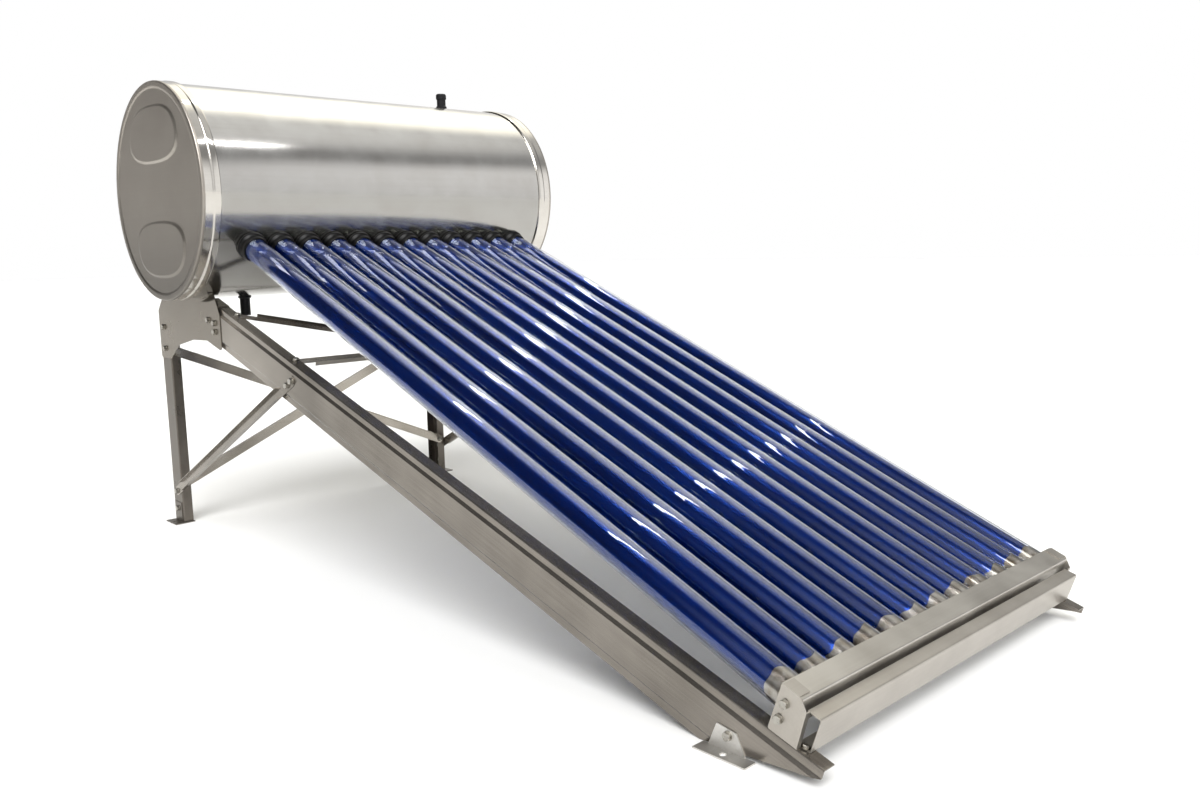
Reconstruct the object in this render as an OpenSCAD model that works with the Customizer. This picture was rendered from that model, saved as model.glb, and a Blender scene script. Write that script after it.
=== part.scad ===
// Solar water heater: an insulated tank fed by a slope of glass vacuum tubes,
// carried on a bolted frame of folded stainless channel.
// Millimetres. X runs along the tank, -Y is the low front, +Z is up, z = 0 is the ground.

/* [Tubes] */
// Number of vacuum tubes
tube_count = 12; // [8:1:14]
// Outside diameter of a tube
tube_od = 58; // [47:1:58]
// Distance between neighbouring tube axes
tube_pitch = 75; // [75:1:85]
// Length of a tube, from its open rim to its round end
tube_len = 1900; // [1500:10:2100]
// Wall of the outer and inner glass
glass_wall = 1.8; // [1.6:0.1:2.2]
// Vacuum gap between the two glasses
vacuum_gap = 3.8; // [3:0.1:6]
// Length of tube that stands inside the water
tube_dip = 74; // [60:1:90]
// Fall of the tubes below level, in degrees
slope = 22.5; // [20:0.5:28]
// How far the tube axes pass below the tank's axis
entry_drop = 40; // [30:1:50]

/* [Tank] */
// Outside diameter of the shell
tank_od = 540; // [500:5:560]
// Tank length beyond the row of tubes, both ends together
end_room = 190; // [180:5:240]
// Foam between the shell and the water tank
foam_t = 50; // [45:1:55]
// Sheet of the shell
shell_t = 1; // [0.8:0.1:1.5]
// Sheet of the water tank
inner_t = 1.2; // [1:0.1:2]
// Length of an end cap's skirt
cap_skirt = 48; // [40:1:60]
// How far the skirt stands out over the shell
cap_lap = 2.5; // [2:0.1:4]
// Radius round the rim of an end cap
cap_round = 8; // [6:1:14]
// Height of the two raised panels on an end cap
cap_panel = 3; // [2:0.5:5]

/* [Fittings] */
// Outside radius of the vent pipe
vent_r = 11; // [9:0.5:13]
// Distance of the vent from the middle of the tank
vent_x = 345; // [250:5:400]
// Outside radius of the water pipes' free ends
port_r = 13.2; // [10:0.1:16.8]
// Distance of each water pipe from the middle of the tank
port_x = 330; // [250:5:380]
// How far the water pipes stand out under the shell
port_len = 52; // [40:1:70]

/* [Frame] */
// Height of the tail rail's front edge above the ground
tail_h = 121; // [110:1:150]
// How far the front rails run on past the tail rail
tip_past = 36; // [30:1:60]
// Height of the rails' tips above the ground, where their feet are cut
tip_lift = 16; // [10:1:24]
// Distance from the tank's end to the outside of the frame
side_in = 90; // [86:1:100]
// Sheet of the rails, brackets and cradles
sheet = 2; // [1.5:0.1:3]
// Sheet of the legs, braces and bars
thin = 1.5; // [1.2:0.1:2]
// Depth of a front rail's web
rail_w = 100; // [90:2:110]
// Width of a front rail's flanges
rail_flange = 30; // [29:1:44]
// How far the rail's margins are set back from its middle band
rail_step = 4; // [2:0.5:6]
// Width of a rear leg
leg_w = 58; // [50:1:62]
// Width of a brace
brace_w = 26; // [22:1:26]
// Height of a brace's turned-up edges
brace_edge = 10; // [6:1:14]
// Length of a brace's flat ends
brace_flat = 45; // [36:1:60]
// Depth of a cradle plate beside the leg
plate_leg = 132; // [126:1:150]
// Depth of a cradle plate beside the rail, below the tank
plate_rail = 134; // [126:1:150]
// How far a cradle plate reaches forward under the tank
plate_fore = 118; // [112:1:130]
// Width of the saddle outside a cradle plate
saddle_w = 17; // [14:1:24]
// Height of the lip turned down along the saddle
saddle_lip = 11; // [6:1:14]
// Height of the cross bar
bar_h = 58; // [40:1:62]
// Depth of the cross bar
bar_d = 25; // [20:1:28]

/* [Fasteners] */
// Bolt diameter
bolt_d = 8; // [6:1:8]
// Radius of the holes in the feet
anchor_r = 5.5; // [4.5:0.5:6]

/* [Fits] */
// Running clearance of a tube in its seal and of the vent cap on its pipe
run_gap = 0.06; // [0.02:0.01:0.1]
// Clearance between pieces that move apart
free_gap = 0.3; // [0.2:0.05:0.6]
// Clearance between pieces that are pressed or welded together
seat_gap = 0.05; // [0.02:0.01:0.1]
// Clearance of a bolt in its hole, on the radius
bolt_gap = 0.3; // [0.2:0.05:0.5]

/* [Hidden] */
$fn = 64;
tank_r = tank_od / 2;
inner_r = tank_r - foam_t;
tank_len = tube_count * tube_pitch + end_room;
shell_half = tank_len / 2 - cap_round - 2;
inner_half = tank_len / 2 - foam_t;
cap_r = tank_r + cap_lap;
skirt_x = tank_len / 2 - cap_skirt;

tube_r = tube_od / 2;
absorber_r = tube_r - glass_wall - vacuum_gap;
ring_r = tube_r + 7.8;
seal_r = tube_r + 7;
tube_top = sqrt(inner_r * inner_r - entry_drop * entry_drop) - tube_dip;
tube_end = tube_top + tube_len;
ring_s = sqrt(tank_r * tank_r - entry_drop * entry_drop);
seal_s = tube_top + tube_dip;

// Tail rail: flange just over the tubes, web just past their ends.
cup_floor = 13;
cup_r = 17;
tail_top = tube_r + 3.5;
tail_low = -20;
tail_lip = 13;
tail_web = tube_end + cup_floor + thin;
tail_rear = tail_web - 40;
tail_tab = tail_web - 30;

// Heights and lengths that follow from the slope.
function tube_yz(s, h) =
    [-s * cos(slope) - (h - entry_drop) * sin(slope),
     -s * sin(slope) + (h - entry_drop) * cos(slope)];
tank_h = tail_h - tube_yz(tail_web, tail_top)[1];
tip_reach = tip_past - tube_yz(tail_web, tail_top)[0];

side_x = tank_len / 2 - side_in;
rail_drop = tank_r - 14;
tip_h = tip_lift + 14;
rail_slope = atan((tank_h - rail_drop - tip_h) / tip_reach);
rail_top_s = 52;
rail_tip_s = tip_reach / cos(rail_slope);
function rail_yz(s, h) =
    [-s * cos(rail_slope) - h * sin(rail_slope),
     -rail_drop - s * sin(rail_slope) + h * cos(rail_slope)];

// Where a rail's lower edge meets the ground, and the rise of its cut from there to the tip.
foot_cut_s = (tank_h - rail_drop - rail_w * cos(rail_slope)) / sin(rail_slope);
foot_cut_y = rail_yz(foot_cut_s, -rail_w)[0];
foot_cut_rise = atan(tip_lift / (tip_reach + foot_cut_y));

leg_back = tank_r + 5;
leg_front = leg_back - leg_w;
leg_flange = 27;
leg_mid = (leg_back + leg_front) / 2;
leg_top = -tank_r - 40;
foot_t = 3;
foot_out = 26;
foot_past = 6;
anchor_x = side_x + foot_out / 2 + 1;
tank_y = (tip_reach - leg_back - foot_past) / 2;

// Bolt places on the frame's sides, as [y, z] from the tank's axis.
plate_leg_bolts = [[leg_mid, leg_top - 45], [leg_mid, leg_top - 105]];
plate_rail_bolts = [rail_yz(70, -50), rail_yz(106, -46), rail_yz(112, -68)];
brace_low = [leg_mid, 90 - tank_h];
brace_high = rail_yz(497, -58);
brace_high_2 = brace_high + 26 * unit(brace_high - brace_low);
rear_foot_bolt = [leg_mid, 40 - tank_h];
front_foot_y = 165 - tip_reach;
front_foot_bolt = [front_foot_y, 28 - tank_h];
tail_bolts = [tube_yz(tail_web - 23, 8), tube_yz(tail_web - 23, -20)];

cross_x = side_x - 20;
rear_cross_x = side_x - 18.5;
rear_cross_high = leg_top - 115;
rear_cross_low = 117 - tank_h;
front_brace_s = 185;
front_tie_s = 490;
front_tie_mid = 24;

bracket_x = side_x - rail_step;
bar_front = rail_tip_s - 32;
bar_back = bar_front - bar_d;
bracket_rear = bar_back - 45;
bracket_front = bar_back + 8;
bracket_fold = 10;
bracket_foot = 30;
bar_bolt_s = bar_back + bar_d / 2;
foot_bolt_s = bracket_rear + bracket_foot / 2 + 1;

steel = [0.74, 0.72, 0.68];
bright = [0.82, 0.81, 0.78];
matt_cap = [0.60, 0.57, 0.53];
navy = [0.03, 0.07, 0.30];
black = [0.05, 0.05, 0.05];

TUBES = [for (i = [1 : tube_count]) str("vacuum_tube_", i < 10 ? "0" : "", i)];

// Outlines

function unit(v) = v / norm(v);
function left(v) = [-v[1], v[0]];

// Points of the arc that rounds the corner b between a and c.
function fillet(a, b, c, r, n = 4) =
    let (u = unit(a - b), v = unit(c - b), half = acos(u * v) / 2)
    let (o = b + unit(u + v) * r / sin(half), p = b + u * r / tan(half), q = b + v * r / tan(half))
    let (start = atan2(p[1] - o[1], p[0] - o[0]), turn = atan2(q[1] - o[1], q[0] - o[0]) - start)
    let (sweep = turn > 180 ? turn - 360 : turn < -180 ? turn + 360 : turn)
    [for (i = [0 : n]) o + r * [cos(start + sweep * i / n), sin(start + sweep * i / n)]];

// A closed outline with all its corners rounded.
function rounded(p, r, n = 4) =
    let (k = len(p))
    [for (i = [0 : k - 1]) each fillet(p[(i + k - 1) % k], p[i], p[(i + 1) % k], r, n)];

// An open line with its inner corners rounded, as a sheet is bent.
function bent(p, r, n = 3) =
    let (k = len(p))
    [p[0], for (i = [1 : k - 2]) each fillet(p[i - 1], p[i], p[i + 1], r, n), p[k - 1]];

// The outline of a sheet of thickness t that lies to the left of a line.
function folded(p, t) =
    let (k = len(p))
    let (side = [for (i = [0 : k - 2]) left(unit(p[i + 1] - p[i]))])
    let (inner = [for (i = [k - 1 : -1 : 0])
        let (a = side[max(i - 1, 0)], b = side[min(i, k - 2)])
        p[i] + (a + b) * t / (1 + a * b)])
    concat(p, inner);

// Places

module at_tank() translate([0, tank_y, tank_h]) children();

// Along the tubes: X across, Y up from the tube axes, Z down the slope.
module at_tubes() at_tank() rotate([90 + slope, 0, 0]) translate([0, -entry_drop, 0]) children();

// Along the front rails: X across, Y up from the rails' top, Z down the slope.
module at_rails() at_tank() translate([0, 0, -rail_drop]) rotate([90 + rail_slope, 0, 0]) children();

// An outline in [Y, Z] carried along X.
module along_x(x0, x1) translate([x0, 0, 0]) rotate([90, 0, 90]) linear_extrude(x1 - x0) children();

// A round bar along the tank's axis.
module drum(r, x0, x1) translate([x0, 0, 0]) rotate([0, 90, 0]) cylinder(r = r, h = x1 - x0, $fn = 128);

module each_tube() at_tubes() for (i = [0 : tube_count - 1])
    translate([(i - (tube_count - 1) / 2) * tube_pitch, 0, 0]) children();

module right_side() mirror([1, 0, 0]) children();

// Fasteners

// Hexagon bolt with washer and nut; the head sits on z = 0 and the shank runs along +Z.
module bolt(grip) {
    head = bolt_d * 0.65;
    across = bolt_d * 1.63;
    translate([0, 0, -1.2]) cylinder(r = bolt_d, h = 1.2);
    translate([0, 0, -1.2 - head]) intersection() {
        cylinder(d = across / cos(30), h = head, $fn = 6);
        cylinder(r1 = across / 2, r2 = across / 2 + head, h = head);
    }
    cylinder(d = bolt_d, h = grip + bolt_d * 0.75);
    translate([0, 0, grip]) cylinder(d = across / cos(30), h = bolt_d * 0.6, $fn = 6);
}

module bolt_hole(length) translate([0, 0, -length / 2])
    cylinder(r = bolt_d / 2 + bolt_gap, h = length);

// Holes across the left side of the frame.
module side_holes(places) at_tank() for (p = places)
    translate([-side_x, p[0], p[1]]) rotate([0, 90, 0]) bolt_hole(40);

// Tank

module outer_shell() color(bright) at_tank() difference() {
    drum(tank_r, -shell_half, shell_half);
    drum(tank_r - shell_t, -shell_half - 1, shell_half + 1);
    rotate([90 + slope, 0, 0]) translate([0, -entry_drop, 0])
        for (i = [0 : tube_count - 1])
            translate([(i - (tube_count - 1) / 2) * tube_pitch, 0, ring_s - 60])
                cylinder(r = tube_r + 3, h = 120);
    translate([vent_x, 0, tank_r - 20]) cylinder(r = vent_r + 1, h = 40);
    for (x = [-port_x, port_x])
        translate([x, 0, -tank_r - 20]) cylinder(r = port_r + 0.3, h = 40);
}

// The water tank's outside as a half section in [radius, x], with dished ends.
function inner_line(r, half) =
    [[0, half], [r * 0.55, half - 5], [r * 0.82, half - 14], [r * 0.95, half - 26], [r, half - 40]];

module inner_body(grow) rotate([0, 90, 0]) {
    line = inner_line(inner_r + grow, inner_half + grow);
    rotate_extrude($fn = 128) polygon(concat(
        line, [for (i = [len(line) - 1 : -1 : 0]) [line[i][0], -line[i][1]]]));
}

module pipe_cuts(gap) {
    translate([vent_x, 0, 0]) cylinder(r = vent_r + gap, h = tank_r);
    for (x = [-port_x, port_x])
        translate([x, 0, -tank_r]) cylinder(r = port_r - 0.7 + gap, h = tank_r);
}

module inner_tank() color(steel) difference() {
    at_tank() difference() {
        inner_body(0);
        inner_body(-inner_t);
        pipe_cuts(seat_gap);
    }
    each_tube() translate([0, 0, seal_s - 50]) cylinder(r = tube_r + 4, h = 100);
}

module insulation() color([0.93, 0.86, 0.62]) difference() {
    at_tank() difference() {
        drum(tank_r - shell_t - seat_gap, -shell_half, shell_half);
        inner_body(seat_gap);
        pipe_cuts(seat_gap);
    }
    each_tube() translate([0, 0, tube_top]) cylinder(r = seal_r + seat_gap, h = tube_dip + 90);
}

// Half section of an end cap in [radius, x]: rolled edge, bead, skirt, round rim and flat face.
cap_face = tank_len / 2 - 1;
cap_field = tank_len / 2 - cap_panel;
cap_line = concat(
    [[cap_r - 0.4, skirt_x], [cap_r + 1.6, skirt_x + 2], [cap_r + 1.6, skirt_x + 16],
     [cap_r, skirt_x + 19]],
    fillet([cap_r, skirt_x + 19], [cap_r, cap_face], [0, cap_face], cap_round, 6),
    [[tank_r * 0.955, cap_face], [tank_r * 0.94, cap_field], [0, cap_field]]);

// Half section of the room inside an end cap: the shell's end, then the stamped sheet's back.
cap_bore = tank_r + seat_gap;
cap_back = cap_face - 2 * shell_t;
cap_room = concat(
    [[0, skirt_x - 1], [cap_bore, skirt_x - 1]],
    fillet([cap_bore, skirt_x], [cap_bore, cap_back], [0, cap_back], cap_round - 2, 6),
    [[tank_r * 0.955 - 2, cap_back], [tank_r * 0.94 - 2, cap_field - shell_t], [0, cap_field - shell_t]]);

// Outline of the upper raised panel: a full oval, a little narrower above.
function oval(v) = sign(v) * pow(abs(v), 0.76);
function panel_line(inset) = [for (a = [0 : 7.5 : 359])
    [(tank_r * 0.56 - inset) * (1 - 0.1 * sin(a)) * oval(cos(a)),
     tank_r * 0.53 + (tank_r * 0.265 - inset) * oval(sin(a))]];

module end_cap_right() color(matt_cap) at_tank() difference() {
    union() {
        rotate([0, 90, 0]) rotate_extrude($fn = 128)
            polygon(concat(cap_line, [[0, skirt_x]]));
        for (turn = [0, 180]) rotate([turn, 0, 0])
            along_x(cap_field - shell_t, tank_len / 2) polygon(panel_line(0));
    }
    rotate([0, 90, 0]) rotate_extrude($fn = 128) polygon(cap_room);
    for (turn = [0, 180]) rotate([turn, 0, 0])
        along_x(cap_field - 2 * shell_t, tank_len / 2 - shell_t) polygon(panel_line(1.5));
}

module end_cap_left() right_side() end_cap_right();

// Silicone sleeves that grip the tubes where they pass into the water.
module tube_seals() color([0.25, 0.24, 0.23]) each_tube() difference() {
    translate([0, 0, seal_s - 18]) cylinder(r = seal_r, h = 36);
    translate([0, 0, seal_s - 40]) cylinder(r = tube_r + run_gap, h = 80);
    difference() {
        translate([0, entry_drop, 0]) drum(inner_r + seat_gap, -tube_pitch, tube_pitch);
        translate([0, entry_drop, 0])
            drum(inner_r - inner_t - seat_gap, -tube_pitch - 1, tube_pitch + 1);
        translate([0, 0, seal_s - 60]) cylinder(r = tube_r + 4 - seat_gap, h = 120);
    }
}

// Black rubber rings that close the shell round the tubes.
module dust_rings() color(black) each_tube() difference() {
    translate([0, 0, ring_s - 18]) rotate_extrude() polygon(
        [[tube_r + free_gap, 0], [ring_r, 0], [ring_r, 30], [ring_r - 2, 33],
         [tube_r + 3, 37], [tube_r + 2, 48], [tube_r + free_gap, 48]]);
    translate([0, entry_drop, 0]) drum(tank_r + seat_gap, -tube_pitch, tube_pitch);
}

module vent_pipe() color(steel) at_tank() translate([vent_x, 0, 0]) difference() {
    translate([0, 0, inner_r - 8]) cylinder(r = vent_r, h = foam_t + 30);
    cylinder(r = vent_r - 3, h = tank_r + 80);
}

module vent_cap() color(black) at_tank() translate([vent_x, 0, tank_r + 0.5]) difference() {
    rotate_extrude() polygon(
        [[0, 0], [vent_r + 5, 0], [vent_r + 5, 6], [vent_r + 2.2, 9], [vent_r + 2.2, 27],
         [vent_r + 4.5, 29], [vent_r + 4.5, 40], [vent_r + 2, 44], [0, 44]]);
    translate([0, 0, -1]) cylinder(r = vent_r + run_gap, h = 1 + 22 - 0.5 + free_gap);
}

// Water pipe: a thin neck through the foam and a wider free end with a shoulder.
module port_left() color(black) at_tank() translate([-port_x, 0, 0]) rotate([180, 0, 0])
    difference() {
        union() {
            translate([0, 0, inner_r - 8]) cylinder(r = port_r - 0.7, h = foam_t + 14.5);
            translate([0, 0, tank_r + 6.5]) cylinder(r = port_r, h = port_len - 6.5);
        }
        cylinder(r = port_r - 4.2, h = tank_r + port_len + 10);
    }

module port_right() right_side() port_left();

module port_grommets() color(black) at_tank() for (x = [-port_x, port_x])
    translate([x, 0, 0]) difference() {
        translate([0, 0, -tank_r - 6]) rotate_extrude() polygon(
            [[port_r - 0.7 + seat_gap, 0], [port_r + 2, 0], [port_r + 4, 2], [port_r + 4, 10],
             [port_r - 0.7 + seat_gap, 10]]);
        drum(tank_r + seat_gap, -60, 60);
    }

// Double-walled glass tube: the round-ended outer glass, and the coated inner glass
// whose flared rim fills the top of the gap.
module round_tube(r, from, to) {
    translate([0, 0, from]) cylinder(r = r, h = to - r - from);
    translate([0, 0, to - r]) sphere(r = r);
}

module vacuum_tube(i) color(navy) at_tubes()
    translate([(i - (tube_count - 1) / 2) * tube_pitch, 0, 0]) {
        difference() {
            round_tube(tube_r, tube_top, tube_end);
            round_tube(tube_r - glass_wall, tube_top - 60, tube_end - glass_wall);
        }
        difference() {
            union() {
                round_tube(absorber_r, tube_top, tube_end - 30);
                translate([0, 0, tube_top])
                    cylinder(r = tube_r - glass_wall - seat_gap, h = 4);
            }
            round_tube(absorber_r - glass_wall, tube_top - 60, tube_end - 30 - glass_wall);
        }
    }

// Frame

// Front rail: a folded channel whose web has a raised middle band; its foot is cut off near the ground.
module front_rail_left() color(steel) difference() {
    at_rails() translate([0, 0, rail_top_s]) linear_extrude(rail_tip_s - rail_top_s)
        translate([-side_x, 0]) polygon(folded(bent(
            [[rail_flange, 0], [rail_step, 0], [rail_step, -14], [0, -20], [0, 22 - rail_w],
             [rail_step, 16 - rail_w], [rail_step, -rail_w], [rail_flange, -rail_w]], 3), sheet));
    side_holes(concat(plate_rail_bolts, [brace_high, brace_high_2, front_foot_bolt]));
    at_rails() for (s = [front_brace_s, front_tie_s, bar_bolt_s, foot_bolt_s])
        translate([-cross_x, 0, s]) rotate([90, 0, 0]) bolt_hole(20);
    translate([-tank_len, tank_y + foot_cut_y, 0]) rotate([-foot_cut_rise, 0, 0])
        translate([0, -400, -300]) cube([tank_len, 800, 300]);
}

module front_rail_right() right_side() front_rail_left();

// Rear leg: a channel that opens inwards.
module rear_leg_left() color(steel) difference() {
    translate([-side_x, tank_y, foot_t]) linear_extrude(tank_h + leg_top - foot_t)
        polygon(folded(bent([[leg_flange, leg_back], [0, leg_back], [0, leg_front],
                             [leg_flange, leg_front]], 3), thin));
    side_holes(concat(plate_leg_bolts, [brace_low, rear_foot_bolt]));
    at_tank() for (z = [rear_cross_high, rear_cross_low])
        translate([-rear_cross_x, leg_front, z]) rotate([90, 0, 0]) bolt_hole(20);
}

module rear_leg_right() right_side() rear_leg_left();

// Cradle: a plate that ties leg and rail together, with a rolled and lipped saddle under the
// tank and a flange folded over the rail's top.
plate_line = rounded(
    [[leg_back, leg_top], [leg_back, leg_top - plate_leg], [leg_front - 8, leg_top - plate_leg],
     [tank_r * 0.55, 2 - tank_r - plate_leg], [tank_r * 0.2, 20 - tank_r - plate_leg],
     [-34, 24 - tank_r - plate_rail], [-plate_fore, -tank_r - plate_rail],
     [-plate_fore, -tank_r - 40], [30 - plate_fore, 20 - tank_r],
     [tank_r * 0.63, -tank_r * 0.73]], 9);
saddle_line = [[0, 0], [tank_r * 0.78, -tank_r * 0.9], [0, -2 * tank_r], [-tank_r * 0.4, -tank_r * 1.1]];

module cradle_left() color(steel) difference() {
    union() {
        at_tank() difference() {
            along_x(-side_x - sheet, -side_x) polygon(plate_line);
            drum(tank_r + seat_gap, -tank_len, tank_len);
        }
        at_tank() intersection() {
            difference() {
                union() {
                    drum(tank_r + seat_gap + sheet, -side_x - saddle_w, -side_x);
                    drum(tank_r + saddle_lip, -side_x - saddle_w, -side_x - saddle_w + sheet);
                }
                drum(tank_r + seat_gap, -side_x - saddle_w - 1, -side_x + 1);
            }
            along_x(-tank_len, 0) polygon(saddle_line);
        }
        at_rails() translate([-side_x - sheet, 0, rail_top_s]) cube([sheet + rail_flange, sheet, 64]);
    }
    side_holes(concat(plate_leg_bolts, plate_rail_bolts));
}

module cradle_right() right_side() cradle_left();

// Brace: a strip with round bolted ends and edges turned up along its middle part;
// bolts names the holes beside the two at its ends.
module brace(length, bolts = []) {
    end = max(concat(bolts, [length]));
    linear_extrude(thin) difference() {
        union() {
            translate([0, -brace_w / 2]) square([end, brace_w]);
            circle(d = brace_w);
            translate([end, 0]) circle(d = brace_w);
        }
        for (x = concat([0, length], bolts)) translate([x, 0]) circle(r = bolt_d / 2 + bolt_gap);
    }
    for (y = [-brace_w / 2, brace_w / 2 - thin])
        translate([brace_flat, y, 0]) cube([length - 2 * brace_flat, thin, brace_edge]);
}

module side_brace_left() color(steel) at_tank() {
    run = brace_high - brace_low;
    translate([-side_x, brace_low[0], brace_low[1]]) rotate([90, 0, 90]) mirror([0, 0, 1])
        rotate([0, 0, atan2(run[1], run[0])]) brace(norm(run), [norm(run) + 26]);
}

module side_brace_right() right_side() side_brace_left();

// Crossed braces between the rear legs: one before the leg flanges, one behind them.
module rear_cross_brace_a() color(steel) at_tank() {
    run = [2 * rear_cross_x, rear_cross_low - rear_cross_high];
    translate([-rear_cross_x, leg_front, rear_cross_high]) rotate([90, 0, 0])
        rotate([0, 0, atan2(run[1], run[0])]) brace(norm(run));
}

module rear_cross_brace_b() color(steel) at_tank() {
    run = [2 * rear_cross_x, rear_cross_high - rear_cross_low];
    translate([-rear_cross_x, leg_front + thin, rear_cross_low]) rotate([90, 0, 0]) mirror([0, 0, 1])
        rotate([0, 0, atan2(run[1], run[0])]) brace(norm(run));
}

// Tie across the front rails, under their flanges.
module front_tie() color(steel) at_rails() translate([-cross_x, -sheet, front_tie_s])
    rotate([90, 0, 0]) brace(2 * cross_x, [cross_x - front_tie_mid, cross_x + front_tie_mid]);

// Slanting brace from a rail's top down to the middle of the tie.
module front_brace_left() color(steel) at_rails() {
    run = [cross_x - front_tie_mid, front_tie_s - front_brace_s];
    translate([-cross_x, 0, front_brace_s]) rotate([-90, 0, 0])
        rotate([0, 0, -atan2(run[1], run[0])]) brace(norm(run));
}

module front_brace_right() right_side() front_brace_left();

// Tail rail: a folded channel over the tube ends, with a bolted tab at each end.
module tail_rail() color(bright) difference() {
    half = bracket_x - sheet;
    at_tubes() {
        along_x(-half, half) polygon(folded(bent(
            [[tail_top, tail_rear], [tail_top, tail_web], [tail_low, tail_web],
             [tail_low, tail_web - tail_lip]], 3), thin));
        for (x = [-half, half - thin])
            along_x(x, x + thin) polygon(rounded(
                [[tail_top - 1, tail_tab], [tail_top - 1, tail_web - 1],
                 [-40, tail_web - 1], [-40, tail_tab]], 4));
    }
    side_holes(tail_bolts);
    right_side() side_holes(tail_bolts);
}

// Plastic cups on the tail rail's web that take the tubes' round ends.
module tail_cups() color([0.3, 0.3, 0.3]) each_tube() difference() {
    translate([0, 0, tube_end - 14]) cylinder(r = cup_r, h = 14 + cup_floor);
    translate([0, 0, tube_end - tube_r]) sphere(r = tube_r + free_gap);
}

// Outline of a tail bracket in [y, z], and the strip along its front that is folded inwards.
bracket_nose = tube_yz(tail_web + 12, tail_top - 14);
bracket_toe = rail_yz(bracket_front, 0);
bracket_line = rounded(
    [rail_yz(bracket_rear, 0), tube_yz(tail_web - 39, tail_top + sheet),
     tube_yz(tail_web - 6, tail_top + sheet), bracket_nose, bracket_toe], 3);
fold_step = -sheet * left(unit(bracket_nose - bracket_toe));
fold_line = [bracket_toe, bracket_nose, bracket_nose + fold_step, bracket_toe + fold_step];

// Tail bracket: plate from the front rail up to the tail rail, with slots for levelling.
module tail_bracket_left() color(bright) difference() {
    union() {
        at_tank() along_x(-bracket_x, -bracket_x + sheet) polygon(bracket_line);
        at_tank() along_x(-bracket_x, -bracket_x + bracket_fold) polygon(fold_line);
        at_tubes() translate([-bracket_x, tail_top, tail_rear + 3])
            cube([26, sheet, tail_web - tail_rear - 10]);
        at_rails() translate([-bracket_x, 0, bracket_rear + 4])
            cube([rail_flange - rail_step - 1, sheet, bracket_foot - 6]);
    }
    at_tank() for (p = tail_bolts) translate([-bracket_x, p[0], p[1]])
        rotate([slope, 0, 0]) rotate([0, 90, 0]) linear_extrude(20, center = true) {
            for (dz = [-5, 5]) translate([dz, 0]) circle(r = bolt_d / 2 + bolt_gap);
            square([10, bolt_d + 2 * bolt_gap], center = true);
        }
    at_rails() translate([-cross_x, 0, foot_bolt_s]) rotate([90, 0, 0]) bolt_hole(20);
}

module tail_bracket_right() right_side() tail_bracket_left();

// Cross bar: a channel bolted across the rails under the tail rail.
module cross_bar() color(steel) difference() {
    half = bracket_x - bracket_fold - 2;
    at_rails() along_x(-half, half) polygon(folded(bent(
        [[bar_h, bar_back], [bar_h, bar_front], [0, bar_front], [0, bar_back]], 3), thin));
    at_rails() for (x = [-cross_x, cross_x])
        translate([x, 0, bar_bolt_s]) rotate([90, 0, 0]) bolt_hole(20);
}

// Feet: folded plates with a bolted tab and an anchor hole.
module rear_foot_left() color(steel) difference() {
    union() {
        translate([-side_x - foot_out, tank_y + leg_front - 6, 0])
            cube([foot_out + leg_flange + 2, leg_w + 6 + foot_past, foot_t]);
        translate([-side_x - sheet, tank_y + leg_mid - 22, 0]) cube([sheet, 44, 58]);
    }
    side_holes([rear_foot_bolt]);
    translate([-anchor_x, tank_y + leg_mid, -1]) cylinder(r = anchor_r, h = 10);
}

module rear_foot_right() right_side() rear_foot_left();

module front_foot_left() color(steel) difference() {
    union() {
        translate([-side_x - foot_out, tank_y + front_foot_y - 50, 0]) cube([foot_out, 100, foot_t]);
        translate([0, tank_y + front_foot_y, 0]) along_x(-side_x - sheet, -side_x)
            polygon(rounded([[-34, 0], [40, 0], [22, 42], [-16, 36]], 2));
    }
    side_holes([front_foot_bolt]);
    translate([-anchor_x, tank_y + front_foot_y, -1])
        cylinder(r = anchor_r, h = 10);
}

module front_foot_right() right_side() front_foot_left();

// Bolts along X: cradle, side brace and foot bolts of one side.
module side_bolts_left() color(steel) at_tank() {
    for (p = concat(plate_leg_bolts, [rear_foot_bolt]))
        translate([-side_x - sheet, p[0], p[1]]) rotate([0, 90, 0]) bolt(sheet + thin);
    for (p = concat(plate_rail_bolts, [front_foot_bolt]))
        translate([-side_x - sheet, p[0], p[1]]) rotate([0, 90, 0]) bolt(2 * sheet);
    for (p = [brace_high, brace_high_2])
        translate([-side_x - thin, p[0], p[1]]) rotate([0, 90, 0]) bolt(thin + sheet);
    translate([-side_x - thin, brace_low[0], brace_low[1]]) rotate([0, 90, 0]) bolt(2 * thin);
}

module side_bolts_right() right_side() side_bolts_left();

// Bolts of the braces between the two sides, with a spacer where tie and front braces meet.
module brace_bolts() color(steel) for (m = [0, 1]) mirror([m, 0, 0]) {
    at_tank() {
        translate([-rear_cross_x, leg_front - (m == 0 ? thin : 0), rear_cross_high])
            rotate([-90, 0, 0]) bolt(2 * thin);
        translate([-rear_cross_x, leg_front - (m == 0 ? 0 : thin), rear_cross_low])
            rotate([-90, 0, 0]) bolt(2 * thin);
    }
    at_rails() {
        translate([-cross_x, thin, front_brace_s]) rotate([90, 0, 0]) bolt(thin + sheet);
        translate([-cross_x, 0, front_tie_s]) rotate([90, 0, 0]) bolt(thin + sheet);
        translate([-front_tie_mid, thin, front_tie_s]) rotate([90, 0, 0]) {
            bolt(2 * thin + sheet);
            translate([0, 0, thin]) cylinder(r = bolt_d, h = sheet);
        }
    }
}

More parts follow.
